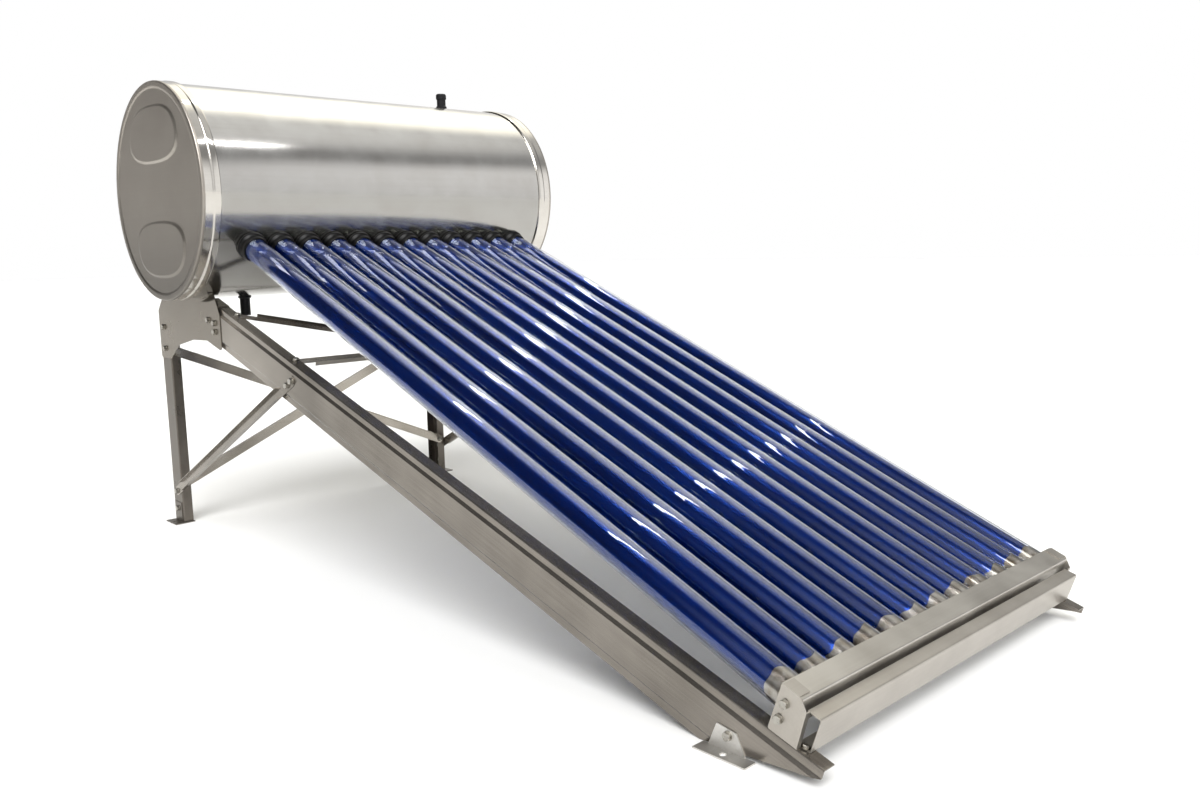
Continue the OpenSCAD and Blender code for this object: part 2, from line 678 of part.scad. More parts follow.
// Bolts of the tail: tail rail to brackets, brackets and cross bar to the rails.
module tail_bolts_set() color(steel) for (m = [0, 1]) mirror([m, 0, 0]) {
    at_tank() for (p = tail_bolts)
        translate([-bracket_x, p[0], p[1]]) rotate([0, 90, 0]) bolt(sheet + thin);
    at_rails() {
        translate([-cross_x, sheet, foot_bolt_s]) rotate([90, 0, 0]) bolt(2 * sheet);
        translate([-cross_x, thin, bar_bolt_s]) rotate([90, 0, 0]) bolt(thin + sheet);
    }
}

outer_shell();
insulation();
inner_tank();
end_cap_left();
end_cap_right();
tube_seals();
dust_rings();
vent_pipe();
vent_cap();
port_left();
port_right();
port_grommets();
cradle_left();
cradle_right();
front_rail_left();
front_rail_right();
rear_leg_left();
rear_leg_right();
side_brace_left();
side_brace_right();
rear_cross_brace_a();
rear_cross_brace_b();
front_tie();
front_brace_left();
front_brace_right();
tail_rail();
tail_cups();
tail_bracket_left();
tail_bracket_right();
cross_bar();
rear_foot_left();
rear_foot_right();
front_foot_left();
front_foot_right();
side_bolts_left();
side_bolts_right();
brace_bolts();
tail_bolts_set();
for (i = [0 : tube_count - 1])
    vacuum_tube(i);
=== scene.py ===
# %% [markdown]
# # Looks of a solar water heater
# The engineering model gives every piece its size and place. This lesson dresses it: the polished
# shell, the stamped caps, the glass tubes and the rubber rings get finer surfaces, and every folded
# steel piece gets a finish. All lengths are metres, +Z is up and -Y is the low front.

# %% Load the engineering model
import math

import bpy
import numpy as np
from mathutils import Matrix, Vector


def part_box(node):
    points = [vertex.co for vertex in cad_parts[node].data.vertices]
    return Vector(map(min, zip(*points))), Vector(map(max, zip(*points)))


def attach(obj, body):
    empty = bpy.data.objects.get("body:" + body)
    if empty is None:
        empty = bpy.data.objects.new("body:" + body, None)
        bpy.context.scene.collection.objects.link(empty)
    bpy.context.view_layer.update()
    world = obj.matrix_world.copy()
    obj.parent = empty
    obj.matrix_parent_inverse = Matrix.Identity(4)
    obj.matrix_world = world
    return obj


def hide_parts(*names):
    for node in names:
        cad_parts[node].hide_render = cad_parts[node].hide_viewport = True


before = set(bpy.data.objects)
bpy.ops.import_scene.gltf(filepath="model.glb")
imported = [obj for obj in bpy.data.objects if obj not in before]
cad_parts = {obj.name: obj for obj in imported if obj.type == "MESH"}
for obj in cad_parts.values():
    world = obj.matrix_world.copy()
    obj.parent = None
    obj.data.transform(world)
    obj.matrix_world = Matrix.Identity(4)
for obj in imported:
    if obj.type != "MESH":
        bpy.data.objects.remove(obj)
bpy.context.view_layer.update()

# %% [markdown]
# ## Places taken from the model
# The tank is a drum that lies along X, so the middle of the shell's box is its axis. Its numbers
# could be typed in once more, but they are measured, so that the dress fits the model. The tubes
# are numbered from left to right. They run down from the tank at one slope, and a point on a tube
# is easiest to give by x across, s down the slope from the tank's axis, and h square to the slope.

# %% The tank's axis
shell_low, shell_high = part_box("outer_shell")
tank_y = (shell_low.y + shell_high.y) / 2
tank_z = (shell_low.z + shell_high.z) / 2
tank_r = (shell_high.z - shell_low.z) / 2
cap_low, cap_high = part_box("end_cap_right")
tank_half = cap_high.x  # from the middle of the tank to the face of a cap
skirt_x = cap_low.x     # where the cap's skirt ends on the shell
print("tank axis", round(tank_y, 4), round(tank_z, 4), "radius", round(tank_r, 4))

# %% The tubes' slope
slope_degrees = 22.5
slope = math.radians(slope_degrees)
axis_drop = 0.040              # the tubes' axes pass this far below the tank's axis
tube_r = 0.029                 # a common tube, 58 mm across
tube_pitch = 0.075
tube_top = 0.142333            # s of the open end, inside the tank
tube_end = tube_top + 1.900    # s of the round end
tube_names = sorted(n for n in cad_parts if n.startswith("vacuum_tube_"))
tube_x = (np.arange(len(tube_names)) - (len(tube_names) - 1) / 2) * tube_pitch


def on_slope(x, s, h):
    """Point in the tubes' frame: y and z are the tank's axis moved by s down the slope and by
    h less the drop square to it, so y = -s cos - h sin and z = -s sin + h cos of the slope."""
    up = h - axis_drop
    y = tank_y - s * np.cos(slope) - up * np.sin(slope)
    z = tank_z - s * np.sin(slope) + up * np.cos(slope)
    return np.stack(np.broadcast_arrays(x, y, z), axis=-1)


print("tubes", len(tube_names), "low end at", on_slope(0.0, tube_end, 0.0).round(3))

# %% [markdown]
# ## From a grid of points to a mesh
# Drum, caps, tubes and rings are all round, so each could be a Screw modifier on a drawn profile.
# A grid of points is chosen because the whole surface is then one formula, and waves or stamped
# ovals can be added to it. Rows follow the profile and columns go round, and the last column joins
# the first.

# %% Faces of a grid
def grid_faces(rows, columns):
    """Quads between neighbouring rows and columns, where the last column joins the first."""
    r = np.arange(rows - 1)[:, None]
    c = np.arange(columns)[None, :]
    after = (c + 1) % columns
    quads = np.stack([r * columns + c, r * columns + after,
                      (r + 1) * columns + after, (r + 1) * columns + c], axis=-1)
    return quads.reshape(-1, 4)


def round_angles(columns):
    """Equal angles once round, as one row."""
    return np.linspace(0, 2 * np.pi, columns, endpoint=False)[None, :]


print("3 rows of 8 points give", len(grid_faces(3, 8)), "faces")

# %% A piece that rides on a body
def make_piece(name, grids, material, body, stands_for=()):
    """One mesh from one or more grids of points, shaded smooth, riding on a body."""
    points, quads, start = [], [], 0
    for grid in grids:
        rows, columns = grid.shape[:2]
        points.append(grid.reshape(-1, 3))
        quads.append(grid_faces(rows, columns) + start)
        start += rows * columns
    mesh = bpy.data.meshes.new(name)
    mesh.from_pydata(np.concatenate(points), [], np.concatenate(quads).tolist())
    mesh.update()
    mesh.shade_smooth()
    mesh.materials.append(material)
    piece = bpy.data.objects.new(name, mesh)
    bpy.context.scene.collection.objects.link(piece)
    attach(piece, body)
    if stands_for:
        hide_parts(*stands_for)
    return piece


print("pieces can ride on", len(tube_names), "tubes, the vent cap and the stand")

# %% [markdown]
# ## Rounded profiles
# Pressed sheet and moulded rubber have no sharp corners. A Bevel modifier could round them later,
# but rounding the profile before it is turned gives clean rings of faces, which catch the light
# in thin lines as a pressed bead does.

# %% Round the corners of a line
def bend_line(points, radius, steps=6):
    """A line with its inner corners rounded: each corner c becomes the quadratic arc
    (1-t)^2 a + 2t(1-t) c + t^2 b, where a and b lie the radius before and after it."""
    line = [points[0]]
    for before, corner, after in zip(points[:-2], points[1:-1], points[2:]):
        a = corner + (before - corner) * min(0.45, radius / np.linalg.norm(before - corner))
        b = corner + (after - corner) * min(0.45, radius / np.linalg.norm(after - corner))
        t = np.linspace(0, 1, steps)[:, None]
        line.extend((1 - t) ** 2 * a + 2 * t * (1 - t) * corner + t ** 2 * b)
    line.append(points[-1])
    return np.array(line)


print("a right angle becomes", len(bend_line(np.array([[0, 0], [1, 0], [1, 1.0]]), 0.1)), "points")

# %% [markdown]
# ## Colours and nodes
# Colours are written as the eye reads them, in sRGB, and turned to linear light once, because that
# is what the renderer counts in. Materials could be clicked together by hand, but a small function
# that adds a node with its settings and links keeps a whole material readable in a few lines.

# %% Colour and node helpers
def linear(code):
    """sRGB hex to linear RGBA: c / 12.92 below 0.04045, else ((c + 0.055) / 1.055) ** 2.4."""
    c = np.array([int(code[i:i + 2], 16) for i in (1, 3, 5)]) / 255
    lit = np.where(c <= 0.04045, c / 12.92, ((c + 0.055) / 1.055) ** 2.4)
    return (*lit.tolist(), 1.0)


def add(tree, kind, inputs=None, stops=None, **settings):
    """Adds one shader node: settings are its properties, inputs are values or other outputs."""
    node = tree.nodes.new("ShaderNode" + kind)
    for key, value in settings.items():
        setattr(node, key, value)
    for key, value in (inputs or {}).items():
        if isinstance(value, bpy.types.NodeSocket):
            tree.links.new(value, node.inputs[key])
        else:
            node.inputs[key].default_value = value
    if stops:
        ramp = node.color_ramp
        while len(ramp.elements) < len(stops):
            ramp.elements.new(0.5)
        for element, (place, code) in zip(ramp.elements, stops):
            element.position = place
            element.color = linear(code)
    return node


def new_material(name):
    """A node material with nothing in it yet, and its tree."""
    material = bpy.data.materials.new(name)
    material.use_nodes = True
    material.node_tree.nodes.clear()
    return material, material.node_tree


print("a middle grey of #808080 is", round(linear("#808080")[0], 3), "in linear light")

# %% [markdown]
# ## Stainless sheet
# Nearly all of the heater is cold-rolled stainless sheet. It keeps fine lines in the direction in
# which it was rolled, and handling leaves soft smudges. A scanned picture would show its edges and
# repeats on a long rail, so stretched noise gives the lines and slow noise the smudges. The smudges
# also change the roughness, which breaks up the reflections. On the tank a painted shade darkens
# the colour towards the bottom, and out of doors dust makes the steel of the stand partly matt.

# %% One function for the sheet
line_length = 80       # a rolled line is this many times as long as it is wide
line_weight = 0.2      # how much of the tone comes from lines, the rest is smudges
line_depth = 0.0005


def stainless(name, light, dark, rough, line_mm, turn=(0, 0, 0), along="X", smudge_mm=90,
              relief=0.05, wear=0.3, painted_shade=None, dust=0.0):
    """Rolled sheet: noise lines of line_mm across run along one axis, over smudges of smudge_mm.

    The tone goes from dark to light with both. wear is how far the smudges change the roughness.
    The painted shade is two heights and a tint: the colour is painted darker from the higher height
    down to the tint at the lower one.
    dust is the share of matt dust on the whole piece.
    """
    material, tree = new_material(name)
    place = add(tree, "TexCoord").outputs["Object"]
    turned = add(tree, "Mapping", {"Vector": place, "Rotation": turn}).outputs[0]
    across = 1000 / line_mm
    stretch = [across / line_length if axis == along else across for axis in "XYZ"]
    scaled = add(tree, "Mapping", {"Vector": turned, "Scale": stretch}).outputs[0]
    lines = add(tree, "TexNoise", {"Vector": scaled, "Scale": 1.0, "Detail": 3.0}).outputs["Fac"]
    smudges = add(tree, "TexNoise", {"Vector": place, "Scale": 1000 / smudge_mm, "Detail": 4.0,
                                     "Roughness": 0.55}).outputs["Fac"]
    blend = add(tree, "Mix", {"Factor": line_weight, "A": smudges, "B": lines}).outputs[0]
    tone = add(tree, "ValToRGB", {"Fac": blend},
               stops=[(0.3, dark), (0.62, light)]).outputs["Color"]
    # Painted shade: the colour is scaled darker towards the bottom, between the two heights.
    if painted_shade:
        low, high, tint = painted_shade
        height = add(tree, "SeparateXYZ", {0: place}).outputs["Z"]
        painted_shade_scale = add(tree, "MapRange", {"Value": height, "From Min": low, "From Max": high,
                                      "To Min": tint, "To Max": 1.0},
                   interpolation_type="SMOOTHSTEP").outputs[0]
        tone = add(tree, "VectorMath", {0: tone, "Scale": painted_shade_scale}, operation="SCALE").outputs[0]
    gloss = add(tree, "MapRange", {"Value": smudges, "From Min": 0.3, "From Max": 0.75,
                                   "To Min": rough * (1 - wear),
                                   "To Max": rough * (1 + wear)}).outputs[0]
    bump = add(tree, "Bump", {"Height": lines, "Strength": relief,
                              "Distance": line_depth}).outputs[0]
    skin = add(tree, "BsdfPrincipled", {"Base Color": tone, "Metallic": 1.0 - dust,
                                        "Roughness": gloss, "Normal": bump})
    add(tree, "OutputMaterial", {"Surface": skin.outputs[0]})
    return material


# Real rolled lines are about a tenth of a millimetre wide, which doesn't show at this distance.
# Every finish below draws them 2 to 5 mm wide instead, as coarse as they need to be.
print("lines of 4 mm are", 0.004 * line_length, "m long")

# %% Finishes of the tank
# Polished sheet: a mirror that is blurred just enough to turn what it shows into soft bands.
# Below the drum's middle its colour is painted darker, as painted shade.
shell_steel = stainless("polished_stainless_shell", "#DDDBD7", "#D3D0CB", 0.17, 4, relief=0.008,
                        painted_shade=(tank_z - 0.035, tank_z + 0.185, 0.56))
# The press stretches the skirt, so it is the brightest piece, with thin sharp highlights.
skirt_steel = stainless("polished_stainless_skirt", "#D2CEC8", "#C4C0B9", 0.12, 4, relief=0.01)
# Satin sheet: one quiet warm grey over the whole cap, where only the stamped edges catch light.
# Towards the bottom the cap's colour is painted darker, as painted shade.
cap_steel = stainless("satin_stainless_cap", "#ACA69E", "#A69F97", 0.42, 3, along="Y", wear=0.08,
                      painted_shade=(tank_z - 0.30, tank_z + 0.05, 0.46))
# Mill finish, as the sheet leaves the rolls: a dull grey gleam on hidden tank and vent pipe.
tank_steel = stainless("mill_stainless_tank", "#B9B6B0", "#A5A19A", 0.3, 5)
print("tank finishes", [m.name for m in (shell_steel, skirt_steel, cap_steel, tank_steel)])

# %% Finishes of the stand
# These pieces are one stainless. Each piece's tone is painted lighter or darker to stand in for the
# light and shade on it, and the bolts are zinc.
rail_turn = (math.radians(-18.04), 0, 0)  # the rails lie flatter than the tubes
# Rolled rail: long light and dark streaks along a brownish grey mirror, painted dark as painted
# shade.
rail_steel = stainless("rolled_stainless_rail", "#98928A", "#5E5952", 0.2, 2.5, rail_turn,
                       along="Y", smudge_mm=450, relief=0.03, dust=0.16)
# Cut plate: flat and even, so it reads as one grey tone with a soft sheen, painted a little dark as
# painted shade.
plate_steel = stainless("cut_stainless_plate", "#80796F", "#706A61", 0.24, 4, along="Z", dust=0.2)
# Rolled leg: painted the darkest of the steels, as painted shade, with lines upright.
leg_steel = stainless("rolled_stainless_leg", "#6F6962", "#5A554E", 0.34, 4, along="Z", dust=0.25)
# Thin braces: painted lighter, as a painted reflection of the floor on their narrow faces.
brace_steel = stainless("rolled_stainless_brace", "#B6B0A6", "#9C958A", 0.2, 4, dust=0.25)
# Satin tail rail and cross bar: soft broad gleams that run from end to end. The tail rail is
# painted lighter as painted light, and the cross bar a little darker as painted shade.
tail_steel = stainless("satin_stainless_tail", "#C9C5BE", "#BBB6AE", 0.4, 4, wear=0.15)
bar_steel = stainless("rolled_stainless_bar", "#B2ADA5", "#A29C94", 0.34, 4, wear=0.12, dust=0.2)
# Front feet: painted pale as painted light, and nearly matt.
foot_steel = stainless("satin_stainless_foot", "#DCDAD6", "#C6C3BD", 0.5, 4, wear=0.12)
# Zinc-plated bolts, by the same function: small bright heads with a cloudy tint.
bolt_steel = stainless("zinc_plated_bolt", "#B3B0A9", "#8C8880", 0.3, 2, along="Z", smudge_mm=12)
stand_finishes = (rail_steel, plate_steel, leg_steel, brace_steel, tail_steel, bar_steel,
                  foot_steel, bolt_steel)
print("stand finishes", [m.name for m in stand_finishes])

# %% [markdown]
# ## Rubber, plastic, foam and silicone
# The dark fittings are moulded, and a mould leaves a fine grain. Foam is a pale sponge of closed
# cells, hidden inside the tank. One function makes them all, because they differ only in colour,
# roughness and grain. A flat colour would be quicker, but it looks like a hole next to the steel.

# %% One function for moulded pieces
grain_depth = 0.0008


def moulded(name, light, dark, rough, grain_mm, relief, cells=False):
    """Moulded surface: a fine noise, or round cells for foam, tints it and lifts it a little."""
    material, tree = new_material(name)
    place = add(tree, "TexCoord").outputs["Object"]
    per_metre = 1000 / grain_mm
    if cells:
        grain = add(tree, "TexVoronoi", {"Vector": place, "Scale": per_metre}).outputs["Distance"]
    else:
        grain = add(tree, "TexNoise", {"Vector": place, "Scale": per_metre,
                                       "Detail": 4.0}).outputs["Fac"]
    tone = add(tree, "ValToRGB", {"Fac": grain},
               stops=[(0.3, dark), (0.7, light)]).outputs["Color"]
    gloss = add(tree, "MapRange", {"Value": grain, "To Min": rough - 0.06,
                                   "To Max": rough + 0.08}).outputs[0]
    bump = add(tree, "Bump", {"Height": grain, "Strength": relief,
                              "Distance": grain_depth}).outputs[0]
    skin = add(tree, "BsdfPrincipled", {"Base Color": tone, "Roughness": gloss, "Normal": bump,
                                        "Specular IOR Level": 0.2})
    add(tree, "OutputMaterial", {"Surface": skin.outputs[0]})
    return material


print("a grain of 3 mm repeats", round(1000 / 3), "times in a metre")

# %% Moulded finishes
# The real grain is a few tenths of a millimetre, too fine to show, so it is drawn 3 to 5 mm wide.
# Soft black rubber: nearly no colour, with a wet-looking edge where it turns to the light.
ring_rubber = moulded("moulded_black_rubber", "#060607", "#020203", 0.32, 3, 0.06)
# Hard black plastic: a little lighter than the rubber, and dull.
cap_plastic = moulded("moulded_black_plastic", "#1E1E20", "#131315", 0.36, 4, 0.08)
# Grey plastic cups, seen only in the gaps of the tail rail.
cup_plastic = moulded("moulded_grey_plastic", "#4A4A4A", "#383838", 0.45, 4, 0.08)
# Cast silicone: brown-grey, smooth and slightly greasy.
seal_silicone = moulded("cast_silicone", "#5A534D", "#474039", 0.42, 5, 0.05)
# Polyurethane foam: cream-coloured and quite matt, pitted by its cells.
tank_foam = moulded("polyurethane_foam", "#EEDCA2", "#D9BF7C", 0.85, 5, 0.5, cells=True)
moulded_finishes = (ring_rubber, cap_plastic, cup_plastic, seal_silicone, tank_foam)
print("moulded finishes", [m.name for m in moulded_finishes])

# %% [markdown]
# ## Clear glass
# Each tube is two glasses with a vacuum between them, and the outer one is clear borosilicate. It
# could be faked as a glossy coat on the blue, but then the clear rim and the second reflection that
# make it look like a tube would be missing. So it is real glass, with the ripple that drawing
# leaves in it.

# %% Borosilicate glass
tube_turn = (math.radians(-slope_degrees), 0, 0)
# The ripple from drawing is about 4 mm wide and half a metre long.
ripple = (1000 / 4, 1000 / 500, 1000 / 4)
ripple_depth = 0.0004


def tube_glass():
    """Clear borosilicate: full transmission, index 1.47, with faint lines from drawing the tube."""
    material, tree = new_material("drawn_borosilicate_glass")
    place = add(tree, "TexCoord").outputs["Object"]
    turned = add(tree, "Mapping", {"Vector": place, "Rotation": tube_turn}).outputs[0]
    scaled = add(tree, "Mapping", {"Vector": turned, "Scale": ripple}).outputs[0]
    draws = add(tree, "TexNoise", {"Vector": scaled, "Scale": 1.0, "Detail": 2.0}).outputs["Fac"]
    bump = add(tree, "Bump", {"Height": draws, "Strength": 0.008,
                              "Distance": ripple_depth}).outputs[0]
    skin = add(tree, "BsdfPrincipled", {"Base Color": linear("#F7FAFF"), "Roughness": 0.0,
                                        "IOR": 1.47, "Transmission Weight": 1.0, "Normal": bump,
                                        "Specular Tint": linear("#FBFFF2")})
    add(tree, "OutputMaterial", {"Surface": skin.outputs[0]})
    return material


# Clear glass gives a sharp silver line along each tube and white glints where a lamp is mirrored.
glass = tube_glass()
print("glass", glass.name, "ripple per metre", ripple)

# %% [markdown]
# ## Blue coating
# The inner glass carries a selective coating: metal and ceramic sputtered in a layer thinner than
# the waves of light, which looks deep blue. A plain blue paint would look flat. A blue metal that
# is only partly metallic keeps a dark body and lights up beside the silver line, and slow noise
# along the tube gives the shifts of hue that such thin layers have.

# %% Selective coating
# The hue shifts over 17 mm across and 670 mm along the tube.
hue_shift = (1000 / (50 / 3), 1000 / (2000 / 3), 1000 / (50 / 3))


def tube_absorber():
    """Sputtered film: noise stretched along the tube shifts its hue and roughness."""
    material, tree = new_material("sputtered_blue_absorber")
    place = add(tree, "TexCoord").outputs["Object"]
    turned = add(tree, "Mapping", {"Vector": place, "Rotation": tube_turn}).outputs[0]
    scaled = add(tree, "Mapping", {"Vector": turned, "Scale": hue_shift}).outputs[0]
    shift = add(tree, "TexNoise", {"Vector": scaled, "Scale": 1.0, "Detail": 3.0}).outputs["Fac"]
    tone = add(tree, "ValToRGB", {"Fac": shift},
               stops=[(0.3, "#022163"), (0.7, "#05307F")]).outputs["Color"]
    gloss = add(tree, "MapRange", {"Value": shift, "To Min": 0.18, "To Max": 0.26}).outputs[0]
    skin = add(tree, "BsdfPrincipled", {"Base Color": tone, "Metallic": 0.65, "Roughness": gloss,
                                        "Specular Tint": linear("#A8C4FF")})
    add(tree, "OutputMaterial", {"Surface": skin.outputs[0]})
    return material


# A thin metal film gives a navy body that turns bright blue only where it mirrors the sky.
absorber = tube_absorber()
print("coating", absorber.name)

# %% [markdown]
# ## Getter mirror
# At the round end of each tube a film of barium keeps the vacuum clean. It is a small mirror,
# silver in the middle and brown where it thins out. It could be painted on the glass, but it is a
# film of its own, so it is a metal with blotches of both colours.

# %% Barium film
blotch_mm = 200 / 9  # blotches of about 22 mm


def tube_getter():
    """Barium mirror: a noise goes from brown over grey to silver, and changes the roughness."""
    material, tree = new_material("barium_getter_mirror")
    place = add(tree, "TexCoord").outputs["Object"]
    shift = add(tree, "TexNoise", {"Vector": place, "Scale": 1000 / blotch_mm,
                                   "Detail": 4.0}).outputs["Fac"]
    tone = add(tree, "ValToRGB", {"Fac": shift}, stops=[
        (0.32, "#7E6E5A"), (0.55, "#A89E90"), (0.8, "#C4BDB2")]).outputs["Color"]
    gloss = add(tree, "MapRange", {"Value": shift, "To Min": 0.22, "To Max": 0.42}).outputs[0]
    skin = add(tree, "BsdfPrincipled", {"Base Color": tone, "Metallic": 1.0, "Roughness": gloss})
    add(tree, "OutputMaterial", {"Surface": skin.outputs[0]})
    return material


# A barium film gives a cloudy silver end with brown stains.
getter = tube_getter()
print("getter", getter.name)

# %% [markdown]
# ## Polished shell
# The shell is one sheet rolled into a drum. A rolled sheet is never a perfect cylinder, and its
# slight waves make the reflections wander. Bump could fake that, but the waves are so long that
# they belong to the shape: a drum of angle and length, with waves of a fraction of a millimetre.

# %% Shell
def shell_surface(rows=72, columns=256):
    """Drum: y = r sin(a), z = r cos(a) along x, where r is the radius plus slow sine waves."""
    x = np.linspace(shell_low.x, shell_high.x, rows)[:, None]
    a = round_angles(columns)
    wave = (0.00018 * np.sin(3 * a + 5.0 * x + 0.4) + 0.00012 * np.sin(7 * a - 9.0 * x)
            + 0.00010 * np.sin(11.0 * x + 2 * a) + 0.00006 * np.sin(13 * a + 4.0 * x))
    r = tank_r - 0.0003 + wave  # kept inside the model's drum
    y, z = tank_y + r * np.sin(a), tank_z + r * np.cos(a)
    return np.stack(np.broadcast_arrays(x, y, z), axis=-1)


shell = make_piece("tank_shell", [shell_surface()[::-1]], shell_steel, "stand",
                   ["outer_shell"])
print("shell", len(shell.data.polygons), "faces")

# %% [markdown]
# ## Stamped end caps
# A cap is pressed from one sheet: a flat face with two raised ovals, a shallow step near the rim, a
# round corner, and a skirt with a bead that laps over the shell. Ovals could be cut in with
# booleans, but those leave ragged edges. Here a profile is turned round the tank's axis, and
# the ovals are a smooth height that is added to the flat face.

# %% Height of the ovals
cap_panel = 0.003                # how far an oval stands out of the face
face_r = 0.93 * tank_r           # radius of the flat face
oval_middle = 0.53 * tank_r      # from the cap's middle to an oval's middle
oval_wide, oval_high = 0.56 * tank_r, 0.265 * tank_r
oval_power = 2.6                 # 2 would be an ellipse, more is squarer
oval_margin = 0.085              # share of an oval over which its edge rises


def oval_height(y, z):
    """Raised ovals: reach = (|y/a|^p + |v/b|^p)^(1/p) is 1 on an oval's edge, v is measured from
    its middle, a narrows towards the rim, and the height eases from 0 to 1 over the margin."""
    height = 0
    for side in (1, -1):
        v = side * z - oval_middle
        a = oval_wide * (1 - 0.1 * np.clip(v / oval_high, -1, 1))
        reach = ((np.abs(y) / a) ** oval_power
                 + (np.abs(v) / oval_high) ** oval_power) ** (1 / oval_power)
        t = np.clip((1.0 - reach) / oval_margin, 0, 1)
        height = height + t * t * (3 - 2 * t)
    return height


print("an oval is", round(2 * oval_wide, 3), "m wide and", round(2 * oval_high, 3), "m high")

# %% Profiles of face and skirt
cap_edge = tank_r + 0.0025
bead_r = cap_edge + 0.0016
skirt = tank_half - skirt_x
corner_depth = 0.0085            # where the round corner ends and the skirt begins
field = np.linspace(0.0005, face_r, 132)
rim = np.array([[0.94 * tank_r, 0.003], [0.955 * tank_r, 0.001], [cap_edge - 0.008, 0.001],
                [cap_edge - 0.0005, 0.0013], [cap_edge, corner_depth]])
face_line = np.concatenate([np.stack([field, np.full_like(field, cap_panel)], axis=-1),
                            bend_line(rim, 0.006)])
skirt_line = bend_line(np.array([
    [cap_edge, corner_depth], [cap_edge, skirt - 0.020], [bead_r, skirt - 0.017],
    [bead_r, skirt - 0.003], [cap_edge, skirt], [tank_r - 0.0002, skirt]]), 0.003)
print("face", len(face_line), "and skirt", len(skirt_line), "points from middle to shell")

# %% End caps
def turned_cap(side, profile, columns):
    """A profile of radius r and depth from the face, turned round the tank's axis:
    y = r sin(a), z = r cos(a), x = half the length less the depth, plus the ovals' height."""
    r, depth = profile[:, 0][:, None], profile[:, 1][:, None]
    a = round_angles(columns)
    y, z = r * np.sin(a), r * np.cos(a)
    depth = depth - cap_panel * np.where(r < face_r, oval_height(y, z), 0)
    x = side * (tank_half - depth)
    grid = np.stack(np.broadcast_arrays(x, tank_y + y, tank_z + z), axis=-1)
    return grid if side > 0 else grid[:, ::-1]


for side, place in ((-1, "left"), (1, "right")):
    cap = make_piece("tank_cap_" + place, [turned_cap(side, face_line, 320)], cap_steel,
                     "stand", ["end_cap_" + place])
    make_piece("cap_skirt_" + place, [turned_cap(side, skirt_line, 256)], skirt_steel,
               "stand")
    print(cap.name, len(cap.data.polygons), "faces")

# %% [markdown]
# ## Vacuum tubes
# The outer glass is a long cylinder with a half sphere at its low end, and so is the coated inner
# glass. A cylinder and a sphere could be joined, but the seam would show in the reflections, so
# both are one profile turned round the tube's axis. The glass has a wall, because light has to
# leave it again to look right. The getter film lies on its inside and has an uneven upper edge.

# %% Profile of a tube
glass_wall = 0.0018
film_gap = 0.0003       # between the glass and the getter film
# The coating is drawn 1.6 mm further out than the model's inner glass, because the clear rim of a
# tube looks narrower in the photograph. It still lies inside the outer glass.
absorber_r = 0.0250
absorber_gap = 0.030    # from the end of the coated glass to the end of the tube
side_rows = 8


def tube_profile(radius, start, end, round_rows=12):
    """Straight side from start, then a quarter circle of the radius that closes at end."""
    bend = np.linspace(0, np.pi / 2, round_rows)
    straight = np.linspace(start, end - radius, side_rows + 1)[:-1]
    s = np.concatenate([straight, end - radius + radius * np.sin(bend)])
    r = np.concatenate([np.full(side_rows, radius), radius * np.maximum(np.cos(bend), 1e-3)])
    return s, r


print("a tube's profile has", len(tube_profile(tube_r, tube_top, tube_end)[0]), "points")

# %% Surfaces of a tube
def turned_tube(x, s, r, columns=48):
    """A profile of distance s and radius r carried round the tube's axis at x."""
    a = round_angles(columns)
    return on_slope(x + r[:, None] * np.sin(a), s[:, None], r[:, None] * np.cos(a))


def getter_film(x, shift, columns=48):
    """Film inside the glass: from an edge 50 mm above the end, which waves with 2a and 5a by up to
    6 mm, down into the round end."""
    a = round_angles(columns)
    end = tube_end - glass_wall - film_gap
    s, r = tube_profile(tube_r - glass_wall - film_gap, tube_top, end)
    edge = end - 0.050 + 0.004 * np.sin(2 * a + shift) + 0.002 * np.sin(5 * a + 2 * shift)
    down = np.linspace(0, 1, side_rows + 1)[:-1, None]
    straight = edge + (end - r[0] - edge) * down
    rounded = np.broadcast_to(s[side_rows:, None], (len(s) - side_rows, columns))
    along = np.concatenate([straight, rounded])
    return on_slope(x + r[:, None] * np.sin(a), along, r[:, None] * np.cos(a))


print("a getter film has", getter_film(0.0, 0.0).shape[:2], "rows and columns")

# %% Tubes
for i, (node_name, x) in enumerate(zip(tube_names, tube_x)):
    number = node_name[-2:]
    body = "tube_" + number
    outer_s, outer_r = tube_profile(tube_r, tube_top, tube_end)
    inner_s, inner_r = tube_profile(tube_r - glass_wall, tube_top, tube_end - glass_wall)
    wall = np.concatenate([turned_tube(x, outer_s, outer_r)[::-1],
                           turned_tube(x, inner_s, inner_r)])
    make_piece("glass_" + number, [wall], glass, body, [node_name])
    core_s, core_r = tube_profile(absorber_r, tube_top, tube_end - absorber_gap)
    make_piece("absorber_" + number, [turned_tube(x, core_s, core_r)[::-1]], absorber, body)
    make_piece("getter_" + number, [getter_film(x, 1.7 * i)[::-1]], getter, body)
print("tubes dressed", len(tube_names))

# %% [markdown]
# ## Dust rings
# A black rubber ring closes the shell round each tube. Its foot follows the drum, so it is a
# saddle, and its neck hugs the tube and ends in a rolled lip. A Shrinkwrap modifier could press a
# plain ring on the drum, but where a tube meets a drum is a formula, so the profile is carried
# round the tube and its lower points slide along the tube until they meet the drum.

# %% Rings
ring_rise = 0.030                # from the shell to the top of the neck
ring_line = bend_line(np.array([
    [0.0004, ring_rise], [0.0018, 0.0305], [0.0036, 0.028], [0.0030, 0.019],
    [0.0042, 0.013], [0.0075, 0.009], [0.0079, 0.004], [0.0072, -0.0005]])
    + np.array([tube_r, 0]), 0.004)


